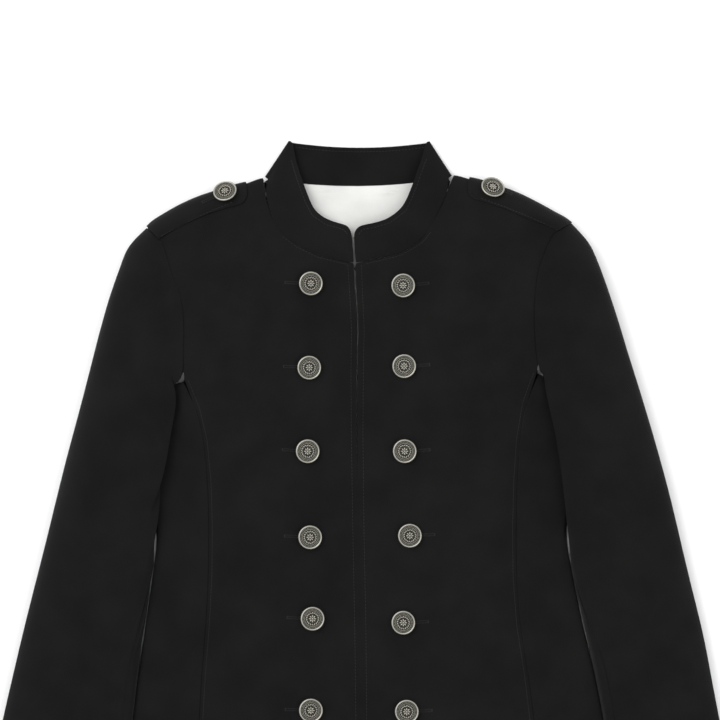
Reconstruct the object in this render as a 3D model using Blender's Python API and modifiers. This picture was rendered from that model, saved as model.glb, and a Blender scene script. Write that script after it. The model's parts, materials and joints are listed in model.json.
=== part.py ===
"""A fitted stand-collar jacket with two rows of buttons, laid flat on its back.

The wearer's right is at -X, the collar at +Y, and Z is the height above the table.
Tables are in millimetres. Every sewn piece is a cloth wall of its own, 0.3 to 0.5 mm
clear of the pieces that it is sewn to.
"""

import math
from typing import NamedTuple

import bmesh
import bpy
import numpy as np
from mathutils import Vector

MM = 0.001

CLOTH = 2.0            # shell cloth with its interfacing
COLLAR_CLOTH = 2.6     # two layers and the stiffener
STRAP_CLOTH = 2.4      # shoulder strap, two layers
LINING_CLOTH = 1.0
SEAM = 0.2             # half of the gap kept at each seam
SIDE_SEAM = 0.4        # the side panel's half at the ridge of the princess seam
TIP_GAP = 0.5          # between the shoulder's tip and the sleeve, along X and along Y
LAID_ON = 0.4          # gap under a piece that lies on another
TURN_UNDER = 12.0      # how far a side or a sleeve turns under at its fold
SLEEVE_LIFT = 8.0       # height of a sleeve's under wall where it lies on the body
LIFT_FROM = 28.0        # the lift starts this far outside the body's edge
LIFT_LENGTH = 18.0
DENSE_STEPS = 80        # points of a profile before it is spaced out evenly


class FrontRow(NamedTuple):
    """One line across a front panel, from its inner edge to its outer seam."""

    in_x: float
    in_y: float
    in_z: float
    out_x: float
    out_y: float
    out_z: float
    crown: float


class SideRow(NamedTuple):
    """One line across a side panel: the fold at the silhouette and the sleeve's edge."""

    edge_x: float
    edge_y: float
    edge_z: float
    reach: float


class SleeveRow(NamedTuple):
    """One ring of a sleeve: inner and outer fold, their heights, and the front seam's place."""

    in_x: float
    in_y: float
    in_z: float
    out_x: float
    out_y: float
    top_z: float
    seam: float


class CollarRow(NamedTuple):
    """One line up the collar, from the neck seam to the top edge."""

    seam_x: float
    seam_y: float
    seam_z: float
    top_x: float
    top_y: float
    top_z: float


class Fold(NamedTuple):
    """A soft trough (negative depth) or ridge between two places on the cloth."""

    x: float
    y: float
    end_x: float
    end_y: float
    width: float
    depth: float


# Rows 0 to 10 end on the princess seam, 10 to 21 on the armhole and 16 starts the neck.
FRONT_ROWS = {
    "left": (
        FrontRow(4.1, -331, 11.0, -159, -329, 10.0, 3.0),
        FrontRow(3.8, -280, 11.0, -155.5, -280, 10.5, 3.5),
        FrontRow(3.5, -225, 11.0, -152, -224, 11.0, 4.0),
        FrontRow(2.8, -170, 11.0, -148.8, -169, 11.5, 4.0),
        FrontRow(2.3, -120, 11.0, -144.8, -118, 11.5, 3.5),
        FrontRow(1.8, -75, 11.0, -142.4, -71, 11.5, 3.0),
        FrontRow(0.8, -30, 11.0, -142.0, -27, 11.5, 3.5),
        FrontRow(-0.2, 15, 11.0, -143.2, 17, 12.0, 4.5),
        FrontRow(-0.8, 60, 11.0, -147.0, 57, 13.0, 5.5),
        FrontRow(-1.2, 95, 11.0, -154.0, 87, 13.5, 6.0),
        FrontRow(-1.0, 125, 11.5, -166.0, 117, 13.5, 6.0),
        FrontRow(-0.6, 145, 12.0, -166.0, 134, 16.0, 5.5),
        FrontRow(-0.5, 162, 12.0, -165.5, 150, 18.5, 5.0),
        FrontRow(-1.0, 178, 12.5, -165.3, 166, 20.5, 4.0),
        FrontRow(-2.0, 193, 13.0, -166.4, 182, 22.0, 3.5),
        FrontRow(-3.4, 208, 13.5, -169.4, 196, 23.5, 3.0),
        FrontRow(-4.0, 225, 14.0, -173.6, 208, 24.5, 3.0),
        FrontRow(-21, 228.6, 14.5, -176.6, 216, 25.0, 2.5),
        FrontRow(-39, 233.2, 15.0, -179.2, 224, 25.5, 2.0),
        FrontRow(-57.9, 243.2, 15.0, -181.2, 231, 26.0, 1.5),
        FrontRow(-69.5, 252.0, 15.0, -182.8, 236.4, 26.2, 1.0),
        FrontRow(-79.0, 264.0, 15.0, -184.0, 240.4, 26.4, 0.5),
    ),
    "right": (
        FrontRow(4.9, -331, 11.0, 177, -329, 10.0, 3.0),
        FrontRow(4.6, -280, 11.0, 173.6, -279, 10.5, 3.5),
        FrontRow(4.2, -225, 11.0, 169.6, -222, 11.0, 4.0),
        FrontRow(3.6, -170, 11.0, 163.0, -168, 11.5, 4.0),
        FrontRow(3.0, -120, 11.0, 155.4, -119, 11.5, 3.5),
        FrontRow(2.5, -75, 11.0, 152.0, -73, 11.5, 3.0),
        FrontRow(1.5, -30, 11.0, 151.5, -28, 11.5, 3.5),
        FrontRow(0.5, 15, 11.0, 152.5, 17, 12.0, 4.5),
        FrontRow(0.1, 60, 11.0, 155.3, 58, 13.0, 5.5),
        FrontRow(-0.1, 95, 11.0, 161.0, 93, 13.5, 6.0),
        FrontRow(0.3, 125, 11.5, 172.4, 124, 13.5, 6.0),
        FrontRow(1.0, 145, 12.0, 170.4, 141, 16.0, 5.5),
        FrontRow(1.4, 162, 12.0, 169.1, 157, 18.5, 5.0),
        FrontRow(0.8, 178, 12.5, 168.4, 173, 20.5, 4.0),
        FrontRow(0.0, 193, 13.0, 168.8, 189, 22.0, 3.5),
        FrontRow(-1.2, 208, 13.5, 170.0, 204, 23.5, 3.0),
        FrontRow(-1.4, 225, 14.0, 172.2, 218, 24.5, 3.0),
        FrontRow(19.3, 229.2, 14.5, 174.6, 226, 25.0, 2.5),
        FrontRow(41.0, 234.6, 15.0, 177.4, 233.6, 25.5, 2.0),
        FrontRow(58.4, 245.8, 15.0, 180.2, 240.6, 26.0, 1.5),
        FrontRow(66.5, 256.0, 15.0, 182.8, 245.8, 26.2, 1.0),
        FrontRow(73.5, 268.0, 15.0, 185.0, 249.6, 26.4, 0.5),
    ),
}
ARMHOLE_FIRST_ROW = 10
ARMHOLE_TOP = {"left": (-185.0, 243.6, 26.5), "right": (187.4, 253.2, 26.5)}
NECK_CORNER_ROW = 16

# The shoulder fold, from the neck to the tip of the shoulder, and its height there.
SHOULDER_LINE = {
    "left": ((-90.8, 307.0, 13.0), (-111, 299.2, 17.0), (-132, 292.6, 20.5),
             (-151, 286.2, 23.5), (-169, 278.0, 25.5), (-186, 268.2, 26.5),
             (-200.2, 258.4, 26.5)),
    "right": ((92.4, 309.6, 13.0), (111, 304.0, 17.0), (131, 297.4, 20.5),
              (150, 290.6, 23.5), (169, 281.4, 25.5), (187, 271.6, 26.5),
              (203.4, 262.6, 26.5)),
}
# Where the neck seam meets the rounded shoulder, and the corner of the back below it.
NECK_SIDE = {"left": (-86.8, 285.0), "right": (82.6, 286.0)}
BACK_CORNER = {"left": ((-87.5, 293.8), (-88.8, 302.6), (-85.6, 304.8)),
               "right": ((86.6, 297.0), (88.2, 303.4), (86.4, 305.6))}
SHOULDER_ROLL = 22.0       # width of the rounded shoulder, seen from above
SHOULDER_UNDER = 9.0       # width of its underside
SHOULDER_MIDDLE = 0.42     # height of the silhouette as a share of the shoulder's
SHOULDER_TURNS = (90, 72, 54, 36, 18, 0, -30, -90)   # degrees round the fold
SHOULDER_PAST = 4.0        # flat strip past the fold, on the table
NEAR_TIP = 0.55            # from this share on, the roll widens to the armhole
NEAR_NECK = 0.2            # up to this share, it narrows to the neck seam
LINE_STEP = 0.02           # share of a line on each side, to read its direction
FRONT_STEPS = (0, 0.05, 0.13, 0.23, 0.34, 0.46, 0.58, 0.7, 0.81, 0.9, 0.96, 1)
CROWN_FADE = 8.0           # the folds fade out over an eighth of the width
BACK_SHOULDER_STEPS = (0.93, 0.8, 0.65, 0.5, 0.35, 0.2, 0.06)

SIDE_ROWS = {
    "left": (
        SideRow(-225.0, -330, 9.0, 60), SideRow(-221.0, -280, 9.0, 60),
        SideRow(-216.0, -224, 9.0, 60), SideRow(-209.3, -169, 9.0, 55),
        SideRow(-202.4, -118, 8.5, 50), SideRow(-195.6, -71, 8.0, 45),
        SideRow(-190.6, -27, 6.2, 38), SideRow(-204.0, 14, 6.2, 32),
        SideRow(-219.0, 50, 6.2, 24), SideRow(-227.0, 74, 6.2, 17),
        SideRow(-227.5, 90, 6.2, 5.0),
    ),
    "right": (
        SideRow(247.5, -330, 9.0, 60), SideRow(242.8, -280, 9.0, 60),
        SideRow(237.0, -223, 9.0, 60), SideRow(226.6, -168, 9.0, 55),
        SideRow(215.2, -119, 8.5, 50), SideRow(205.9, -73, 8.0, 45),
        SideRow(197.8, -28, 6.2, 38), SideRow(209.0, 14, 6.2, 32),
        SideRow(224.0, 51, 6.2, 24), SideRow(232.5, 79, 6.2, 17),
        SideRow(233.5, 96, 6.2, 5.0),
    ),
}
SIDE_TOP_DROP = 5.0        # the side panel stops this far under the armhole's end
SIDE_TOP_HEIGHT = 8.5
SIDE_STEPS = (0, 0.12, 0.26, 0.44, 0.64, 0.8)   # shares of the way to the fold
SIDE_FOLD_STEPS = (-5.5, -2.2, 1.5, 5.0)        # round the fold itself
SIDE_FOLD_ROUND = 0.75     # the fold's width as a share of its height

# The sleeve's outer silhouette round its cap, with its height, from the shoulder's tip.
SLEEVE_CAP = {
    "left": ((-200.2, 258.4, 26.5), (-209.8, 249.6, 27.6), (-217.2, 240.6, 29.0),
             (-221.8, 231.6, 30.4), (-226.0, 220.0, 31.2), (-231.0, 206.0, 31.6),
             (-236.2, 190.5, 31.6), (-241.0, 174.0, 31.2), (-245.8, 156.5, 30.6),
             (-251.0, 136.5, 30.0)),
    "right": ((203.4, 262.6, 26.5), (213.0, 252.8, 27.6), (220.4, 243.4, 29.0),
              (225.4, 233.5, 30.4), (230.4, 221.0, 31.2), (235.6, 207.0, 31.6),
              (241.0, 191.0, 31.6), (246.6, 174.0, 31.2), (251.8, 157.0, 30.6),
              (257.6, 138.0, 30.0)),
}
# The sleeve from the underarm to its cuff, as a closed tube.
SLEEVE_ROWS = {
    "left": (
        SleeveRow(-171.4, 97, 19.0, -257.0, 113.0, 30.0, -16),
        SleeveRow(-176.6, 66, 20.0, -265.6, 80.0, 29.5, -16),
        SleeveRow(-182.6, 28, 20.0, -275.6, 43.0, 29.0, -14),
        SleeveRow(-189.6, -16, 20.0, -286.4, 0.0, 28.0, -6),
        SleeveRow(-194.7, -62, 18.0, -297.0, -43.0, 27.0, 2),
        SleeveRow(-200.7, -105, 17.0, -308.0, -86.0, 25.5, 8),
        SleeveRow(-206.3, -150, 16.5, -319.0, -130.0, 24.0, 15),
        SleeveRow(-211.8, -196, 16.0, -329.6, -175.0, 22.5, 15),
        SleeveRow(-216.4, -242, 15.5, -339.6, -219.0, 21.0, 15),
        SleeveRow(-220.5, -288, 15.0, -348.2, -264.0, 19.5, 15),
        SleeveRow(-223.6, -326, 14.5, -354.6, -302.0, 18.5, 15),
        SleeveRow(-224.8, -345, 14.0, -357.6, -321.0, 18.0, 15),
    ),
    "right": (
        SleeveRow(179.4, 103, 19.0, 264.4, 117.0, 30.0, -16),
        SleeveRow(186.6, 70, 20.0, 275.0, 82.0, 29.5, -16),
        SleeveRow(192.6, 30, 20.0, 286.4, 43.0, 29.0, -14),
        SleeveRow(199.4, -18, 20.0, 298.4, -2.0, 28.0, -6),
        SleeveRow(204.1, -64, 18.0, 308.6, -45.0, 27.0, 2),
        SleeveRow(213.0, -107, 17.0, 319.0, -88.0, 25.5, 8),
        SleeveRow(222.8, -152, 16.5, 329.6, -132.0, 24.0, 15),
        SleeveRow(232.1, -197, 16.0, 338.2, -177.0, 22.5, 15),
        SleeveRow(239.0, -243, 15.5, 346.6, -221.0, 21.0, 15),
        SleeveRow(243.4, -289, 15.0, 353.8, -266.0, 19.5, 15),
        SleeveRow(246.9, -327, 14.5, 358.6, -304.0, 18.5, 15),
        SleeveRow(248.4, -346, 14.0, 360.8, -323.0, 18.0, 15),
    ),
}
SLEEVE_OUTER_ROLL = 30.0     # width of a sleeve's rounded outer side
SLEEVE_OUTER_UNDER = 12.0
SLEEVE_TURN_UNDER = 26.0       # from the outer fold to the back seam, on the table
CURVED_SEAM = 0.95              # half of a seam's gap where the wall bends
SLEEVE_INNER_ROLL = 8.0
SLEEVE_MIDDLE = 0.45         # height of a sleeve's fold as a share of its own
SLEEVE_UPPER_STEPS = (0, 0.05, 0.14, 0.26, 0.4, 0.55, 0.7, 0.82, 0.91, 0.97)
SLEEVE_TURN_STEPS = (0, 0.25, 0.6, 1)
SLEEVE_UNDER_STEPS = (0, 0.14, 0.32, 0.52, 0.7, 0.84, 0.92, 0.97, 1)
SLEEVE_CREST = 0.55          # share of the width where a sleeve is highest
SLEEVE_INNER_FADE = 12.0     # the folds fade out over these widths
SLEEVE_OUTER_FADE = 20.0
SLEEVE_UNDER_MOST = 0.62     # the most of the under wall that the upper piece takes
ON_BODY_Y = -40.0            # above this, a sleeve lies on the body
BENT_SEAM_Y = 20.0           # above this, the seams run over bends
FLAT_SEAM_FROM = 13.0        # a seam this far from the fold lies on flat cloth

# From the front edge to the fold beside the neck; the back runs between the two folds.
COLLAR_ROWS = {
    "left": (
        CollarRow(-4.0, 226.0, 14.4, -5.4, 251.0, 14.6),
        CollarRow(-10.0, 226.8, 14.6, -8.2, 258.4, 15.4),
        CollarRow(-21.0, 229.2, 14.8, -14.5, 261.8, 16.0),
        CollarRow(-39.0, 233.8, 15.3, -27.0, 265.4, 16.4),
        CollarRow(-57.8, 243.8, 15.3, -39.5, 273.6, 16.4),
        CollarRow(-69.4, 252.6, 15.3, -45.8, 285.0, 15.6),
        CollarRow(-78.8, 264.6, 15.3, -50.6, 297.5, 14.2),
        CollarRow(-84.0, 279.4, 14.6, -55.4, 311.0, 12.4),
        CollarRow(-86.9, 294.0, 12.0, -59.6, 325.0, 10.2),
    ),
    "right": (
        CollarRow(-1.2, 226.0, 14.4, -3.0, 252.0, 14.6),
        CollarRow(6.0, 227.2, 14.6, 1.0, 259.4, 15.4),
        CollarRow(19.4, 229.8, 14.8, 12.6, 262.2, 16.0),
        CollarRow(40.8, 235.2, 15.3, 28.4, 266.8, 16.4),
        CollarRow(58.2, 246.4, 15.3, 42.4, 277.2, 16.4),
        CollarRow(66.3, 256.6, 15.3, 48.2, 288.0, 15.6),
        CollarRow(73.3, 268.6, 15.3, 52.6, 299.0, 14.2),
        CollarRow(80.6, 283.4, 14.6, 57.2, 312.0, 12.4),
        CollarRow(85.6, 296.0, 12.0, 62.2, 326.0, 10.2),
    ),
}
# The fold beside the neck, at the silhouette: its foot and its head.
COLLAR_FOLD = {"left": ((-88.6, 308.4), (-66.2, 342.2)),
               "right": ((90.2, 309.6), (69.4, 341.8))}
COLLAR_FOLD_RADIUS = 4.2
COLLAR_FOLD_TURNS = (90, 45, 0, -45, -90)
COLLAR_BACK_SEAM_SAG = 7.0    # how far the back neck seam dips between the folds
COLLAR_BACK_TOP_SAG = 4.6
COLLAR_BACK_STEPS = 8
COLLAR_HEIGHT_STEPS = 5
COLLAR_ROLL = 1.4             # the collar's fullness between its edges

# The strap on each shoulder: from the neck end to the sleeve seam, as shares of the shoulder.
STRAP_START = 0.13
STRAP_POINT = 0.07             # the length of its rounded end, as the same share
STRAP_END = 0.975
STRAP_TURNS = (76, 66, 54, 36, 18, 0, -18)
STRAP_STEPS = 12
STRAP_BUTTON_AT = {"left": (0.285, 38), "right": (0.315, 38)}   # share, degrees

BUTTON_PLACES = {
    "left": ((-44.6, 205.7), (-46.1, 125.9), (-47.5, 46.6),
             (-45.1, -35.2), (-42.8, -112.6), (-44.4, -199.6)),
    "right": ((43.7, 203.8), (44.6, 127.3), (45.1, 46.6),
              (49.9, -33.7), (43.7, -116.4), (47.0, -200.8)),
}
# Radius and height of a shank button's outline, from the shank's foot to the crown.
BUTTON_OUTLINE = ((0.0, 4.7), (6.6, 4.5), (9.2, 4.1), (10.6, 4.3), (11.4, 3.4),
                  (10.4, 2.4), (3.2, 1.9), (2.6, 0.0), (0.0, 0.0))
BUTTON_SIDES = 16

# The lining of the back, seen through the neck.
LINING_HALF_WIDTH = 80.0
LINING_LOW_Y = 222.0
LINING_SHOULDER_Y = 292.0
LINING_INSET = 1.0

# Hook and eye at the foot of the collar: the bend starts from the eye's near side.
EYE_PLACE = (0.4, 220.0, 10.6)
EYE_LENGTH = 6.4
EYE_WIDTH = 4.8
EYE_SIDES = 12
FASTENER_WIRE = 0.5
HOOK_BEND = ((-7.0, 0.2), (-1.3, 0.2), (-0.4, 1.3), (0.4, 1.1), (1.2, -0.1),
             (0.8, -1.3), (-0.6, -1.7))

FOLD_FADE = 4.0        # a fold fades out over a quarter of its length at each end
FOLD_LEFT = 0.2        # share of its depth at the very end
BODY_FOLDS = (
    Fold(135, 238, 154, 162, 13, -1.8),
    Fold(131, 152, 137, 10, 15, -1.6),
    Fold(100, 190, 112, 60, 20, 1.2),
    Fold(-121, 114, -112, -19, 14, -1.5),
    Fold(-92, 176, -98, 40, 22, 1.2),
    Fold(-26, 226, -12, 199, 9, -1.4),
    Fold(12, 214, 30, 196, 10, -1.0),
    Fold(-128, 205, -148, 160, 12, -1.2),
    Fold(-70, -60, -92, -250, 20, -1.3),
    Fold(88, -50, 112, -240, 22, -1.3),
    Fold(-118, -120, -130, -310, 16, 1.3),
    Fold(134, -110, 146, -300, 16, 1.2),
)
SLEEVE_FOLDS = (
    Fold(-190, 222, -176, 190, 10, -2.2),
    Fold(-214, 205, -206, 120, 16, -1.6),
    Fold(-196, 108, -236, 62, 12, -1.8),
    Fold(-200, 20, -258, -8, 13, -1.8),
    Fold(-214, -48, -268, -64, 12, -1.5),
    Fold(-250, 60, -266, -40, 16, 1.2),
    Fold(-262, -110, -284, -250, 18, -1.3),
    Fold(186, 226, 178, 176, 10, -2.0),
    Fold(220, 200, 214, 118, 16, -1.6),
    Fold(204, 96, 246, 66, 12, -1.6),
    Fold(210, 14, 270, -14, 13, -1.9),
    Fold(222, -52, 276, -74, 12, -1.4),
    Fold(262, 50, 276, -60, 16, 1.2),
    Fold(276, -112, 292, -240, 18, -1.3),
)


def clear_scene():
    """Remove every object, so that the file starts empty."""
    for old in list(bpy.data.objects):
        bpy.data.objects.remove(old, do_unlink=True)


def make_collection(name):
    """Return a new collection linked to the scene."""
    collection = bpy.data.collections.new(name)
    bpy.context.scene.collection.children.link(collection)
    return collection


def make_material(name, colour, roughness, metallic):
    """Return a Principled material of one colour."""
    material = bpy.data.materials.new(name)
    material.use_nodes = True
    shader = material.node_tree.nodes["Principled BSDF"]
    shader.inputs["Base Color"].default_value = (*colour, 1.0)
    shader.inputs["Roughness"].default_value = roughness
    shader.inputs["Metallic"].default_value = metallic
    return material


def smooth(value):
    """Ease a share from 0 to 1, clamped at both ends."""
    share = min(max(value, 0.0), 1.0)
    return share * share * (3.0 - 2.0 * share)


def roll(distance, width):
    """Height share of a rounded edge at a distance in from its silhouette."""
    share = min(max(distance / width, 0.0), 1.0)
    return math.sqrt(max(0.0, 1.0 - (1.0 - share) ** 2))


def relief(folds, x, y):
    """Return the height that soft folds add to the cloth at a place."""
    height = 0.0
    for fold in folds:
        along = np.array([fold.end_x - fold.x, fold.end_y - fold.y])
        place = np.array([x - fold.x, y - fold.y])
        length = float(along @ along)
        share = float(np.clip(place @ along / length, 0.0, 1.0))
        offset = place - share * along
        fade = smooth(FOLD_FADE * share) * smooth(FOLD_FADE * (1.0 - share))
        fade = FOLD_LEFT + (1.0 - FOLD_LEFT) * fade
        height += fold.depth * fade * math.exp(-float(offset @ offset) / fold.width ** 2)
    return height


def curve_point(points, share):
    """Return the point at a share of a smooth curve through evenly weighted points."""
    table = np.array(points, dtype=float)
    last = len(table) - 1
    place = min(max(share, 0.0), 1.0) * last
    first = min(int(place), last - 1)
    part = place - first
    before = table[max(first - 1, 0)]
    start, end = table[first], table[first + 1]
    after = table[min(first + 2, last)]
    return 0.5 * (2 * start + (end - before) * part
                  + (2 * before - 5 * start + 4 * end - after) * part ** 2
                  + (3 * start - before - 3 * end + after) * part ** 3)


def cloth(name, rows, thickness, material, collection):
    """Make a cloth wall from a grid of outer points, thickened on its inner side."""
    row_count, column_count = len(rows), len(rows[0])
    mesh = bpy.data.meshes.new(name)
    grid = bmesh.new()
    bmesh.ops.create_grid(grid, x_segments=column_count - 1, y_segments=row_count - 1, size=1.0)
    grid.verts.ensure_lookup_table()
    for row_index, row in enumerate(rows):
        for column_index, point in enumerate(row):
            vertex = grid.verts[row_index * column_count + column_index]
            vertex.co = Vector(point) * MM
    grid.to_mesh(mesh)
    grid.free()
    mesh.materials.append(material)
    mesh.shade_smooth()
    piece = bpy.data.objects.new(name, mesh)
    collection.objects.link(piece)
    wall = piece.modifiers.new("Wall", "SOLIDIFY")
    wall.thickness = thickness * MM
    wall.offset = -1.0
    return piece


def plate(name, outline, low, high, material, collection):
    """Make a flat plate from a closed outline and the heights of its two faces."""
    shape = bpy.data.curves.new(name, "CURVE")
    shape.dimensions = "2D"
    shape.fill_mode = "BOTH"
    shape.extrude = (high - low) / 2 * MM
    line = shape.splines.new("POLY")
    line.points.add(len(outline) - 1)
    for point, (x, y) in zip(line.points, outline):
        point.co = (x * MM, y * MM, 0.0, 1.0)
    line.use_cyclic_u = True
    shape.materials.append(material)
    piece = bpy.data.objects.new(name, shape)
    piece.location.z = (low + high) / 2 * MM
    collection.objects.link(piece)
    return piece


def wire(name, points, radius, material, collection, closed=False):
    """Make a round wire through a list of points."""
    shape = bpy.data.curves.new(name, "CURVE")
    shape.dimensions = "3D"
    shape.bevel_depth = radius * MM
    shape.bevel_resolution = 1
    shape.use_fill_caps = not closed
    line = shape.splines.new("POLY")
    line.points.add(len(points) - 1)
    for point, place in zip(line.points, points):
        point.co = (*(Vector(place) * MM), 1.0)
    line.use_cyclic_u = closed
    shape.materials.append(material)
    piece = bpy.data.objects.new(name, shape)
    collection.objects.link(piece)
    return piece


def shoulder_point(side, share, degrees, outward=0.0):
    """Return a point round the shoulder fold, and the way that the cloth faces there."""
    line = SHOULDER_LINE[side]
    x, y, height = curve_point(line, share)
    before = curve_point(line, share - LINE_STEP)
    after = curve_point(line, share + LINE_STEP)
    along = np.array([after[0] - before[0], after[1] - before[1]])
    along /= np.linalg.norm(along)
    inward = np.array([-along[1], along[0]])
    if inward[1] > 0:
        inward = -inward
    seam = np.array(ARMHOLE_TOP[side][:2]) - np.array(line[-1][:2])
    near_tip = smooth((share - NEAR_TIP) / (1.0 - NEAR_TIP))
    roll_width = SHOULDER_ROLL + (float(np.linalg.norm(seam)) - SHOULDER_ROLL) * near_tip
    inward = inward + (seam / np.linalg.norm(seam) - inward) * near_tip
    neck = np.array(NECK_SIDE[side]) - np.array(line[0][:2])
    near_neck = smooth((NEAR_NECK - share) / NEAR_NECK)
    inward = inward + (neck / np.linalg.norm(neck) - inward) * near_neck
    inward /= np.linalg.norm(inward)
    middle = SHOULDER_MIDDLE * height
    turn = math.radians(degrees)
    width = roll_width if degrees > 0 else SHOULDER_UNDER
    rise = height - middle if degrees > 0 else middle
    across = width * (1.0 - math.cos(turn))
    facing = np.array([-inward[0] * rise * math.cos(turn), -inward[1] * rise * math.cos(turn),
                       width * math.sin(turn)])
    facing /= np.linalg.norm(facing)
    point = np.array([x + inward[0] * across, y + inward[1] * across,
                      middle + rise * math.sin(turn)])
    return point + facing * outward, facing


def front_point(side, row, share):
    """Return a point of a front panel on one of its table's rows."""
    x = row.in_x + (row.out_x - row.in_x) * share
    y = row.in_y + (row.out_y - row.in_y) * share
    z = row.in_z + (row.out_z - row.in_z) * share
    edge_fade = min(1.0, CROWN_FADE * share, CROWN_FADE * (1.0 - share))
    z += row.crown * 4.0 * share * (1.0 - share)
    z += relief(BODY_FOLDS, x, y) * edge_fade
    return np.array([x, y, z])


def front_grid(side):
    """Return the rows of a front panel, from the hem over the shoulder fold."""
    inward = 1.0 if side == "right" else -1.0
    rows = []
    for row in FRONT_ROWS[side]:
        line = [front_point(side, row, share) for share in FRONT_STEPS]
        line[-1][0] -= inward * SEAM
        rows.append(line)
    turned = []
    for degrees in SHOULDER_TURNS:
        turned.append([shoulder_point(side, share, degrees)[0] for share in FRONT_STEPS])
    past = []
    for share in FRONT_STEPS:
        point, _ = shoulder_point(side, share, SHOULDER_TURNS[-1])
        ahead, _ = shoulder_point(side, share, 0)
        step = (point - ahead)[:2]
        step /= np.linalg.norm(step)
        past.append(np.array([point[0] + step[0] * SHOULDER_PAST,
                              point[1] + step[1] * SHOULDER_PAST, 0.0]))
    return rows + turned + [past]


def height_on(grid, x, y):
    """Return the height of a panel's outer face at a place."""
    levels, heights = [], []
    for line in grid[:NECK_CORNER_ROW + 1]:
        ordered = sorted(line, key=lambda point: point[0])
        xs = [point[0] for point in ordered]
        levels.append(np.interp(x, xs, [point[1] for point in ordered]))
        heights.append(np.interp(x, xs, [point[2] for point in ordered]))
    return float(np.interp(y, levels, heights))


def along_profile(profile, distances):
    """Return points at distances along a profile of dense points."""
    dense = np.array(profile)
    lengths = np.concatenate([[0.0], np.cumsum(np.linalg.norm(np.diff(dense, axis=0), axis=1))])
    return [np.array([np.interp(distance, lengths, dense[:, axis]) for axis in range(3)])
            for distance in distances], lengths[-1]


def side_profile(side, front, edge, is_top):
    """Return dense points across a side panel and where its fold begins to turn under."""
    outward = 1.0 if side == "right" else -1.0
    start_z = SIDE_TOP_HEIGHT if is_top else front.out_z
    start = np.array([front.out_x + outward * SIDE_SEAM,
                      front.out_y - (SIDE_TOP_DROP if is_top else 0.0)])
    end = np.array([edge.edge_x, edge.edge_y])
    width = float(np.linalg.norm(end - start))
    middle = edge.edge_z / 2
    fold = edge.edge_z * SIDE_FOLD_ROUND
    top, under = [], []
    for step in range(DENSE_STEPS + 1):
        distance = width * (1.0 - math.cos(math.pi * step / DENSE_STEPS)) / 2
        place = start + (end - start) * distance / width
        flat = edge.edge_z + (start_z - edge.edge_z) * (1.0 - smooth(distance / edge.reach))
        z = middle + (flat - middle) * roll(width - distance, fold)
        top.append((place[0], place[1], z))
        if width - distance < 3 * TURN_UNDER:
            under.append((place[0], place[1], middle - middle * roll(width - distance, fold)))
    _, top_length = along_profile(top, [0.0])
    return top + under[::-1][1:], top_length


def side_grid(side):
    """Return the rows of a side panel, from the hem to the underarm."""
    rows = []
    fronts = FRONT_ROWS[side]
    for index, edge in enumerate(SIDE_ROWS[side]):
        is_top = index == ARMHOLE_FIRST_ROW
        profile, fold_at = side_profile(side, fronts[index], edge, is_top)
        distances = [fold_at * share for share in SIDE_STEPS]
        distances += [fold_at + step for step in SIDE_FOLD_STEPS]
        distances += [fold_at + TURN_UNDER]
        points, _ = along_profile(profile, distances)
        rows.append(points)
    return rows


def body_edge(side, y):
    """Return the x of the body's silhouette under the sleeve at a height up the body."""
    rows = SIDE_ROWS[side]
    return float(np.interp(y, [row.edge_y for row in rows], [row.edge_x for row in rows]))


def sleeve_base(side, x, y, over):
    """Return how far the body under a sleeve lifts the sleeve's under wall."""
    sign = 1.0 if side == "right" else -1.0
    inside = sign * (body_edge(side, y) - x)
    top_row = FRONT_ROWS[side][ARMHOLE_FIRST_ROW]
    edge = SIDE_ROWS[side][ARMHOLE_FIRST_ROW]
    slope = (top_row.out_y - SIDE_TOP_DROP - edge.edge_y) / (top_row.out_x - edge.edge_x)
    top_line = edge.edge_y + slope * (x - edge.edge_x)
    inside = min(inside, top_line - y)
    return SLEEVE_LIFT * smooth((inside + LIFT_FROM) / LIFT_LENGTH) * over


def sleeve_ring(side, row, closed):
    """Return dense points over and under a sleeve's ring, each from its inner end."""
    start = np.array([row.in_x, row.in_y])
    end = np.array([row.out_x, row.out_y])
    width = float(np.linalg.norm(end - start))
    outer = min(SLEEVE_OUTER_ROLL, width)
    over = 1.0 if row.in_y > ON_BODY_Y else 0.0
    top, under = [], []
    for step in range(DENSE_STEPS + 1):
        distance = width * (1.0 - math.cos(math.pi * step / DENSE_STEPS)) / 2
        place = start + (end - start) * distance / width
        base = sleeve_base(side, place[0], place[1], over)
        crest = row.in_z + (row.top_z - row.in_z) * smooth(distance / (SLEEVE_CREST * width))
        middle = base + SLEEVE_MIDDLE * (crest - base)
        inner = roll(distance, SLEEVE_INNER_ROLL) if closed else 1.0
        outer_top = roll(width - distance, outer)
        outer_under = roll(width - distance, min(SLEEVE_OUTER_UNDER, width))
        z = middle + (crest - middle) * inner * outer_top
        fade = min(1.0, distance / SLEEVE_INNER_FADE, (width - distance) / SLEEVE_OUTER_FADE)
        z += relief(SLEEVE_FOLDS, place[0], place[1]) * fade
        top.append((place[0], place[1], z))
        under.append((place[0], place[1], middle - (middle - base) * inner * outer_under))
    return top, under


def cap_rings(side):
    """Return the sleeve's open rings, from the shoulder's tip down the armhole."""
    sign = 1.0 if side == "right" else -1.0
    top_x, top_y, top_z = ARMHOLE_TOP[side]
    line = SLEEVE_CAP[side]
    tip_x, tip_y, tip_z = line[0]
    rings = [SleeveRow(top_x + sign * TIP_GAP, top_y - TIP_GAP, top_z,
                       tip_x + sign * TIP_GAP, tip_y - TIP_GAP, tip_z, 0)]
    armhole = FRONT_ROWS[side][:ARMHOLE_FIRST_ROW - 1:-1]
    for number, row in enumerate(armhole, start=1):
        x, y, height = curve_point(line, number / len(armhole))
        rings.append(SleeveRow(row.out_x + sign * 2 * SEAM, row.out_y, row.out_z, x, y, height, 0))
    return rings


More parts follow.
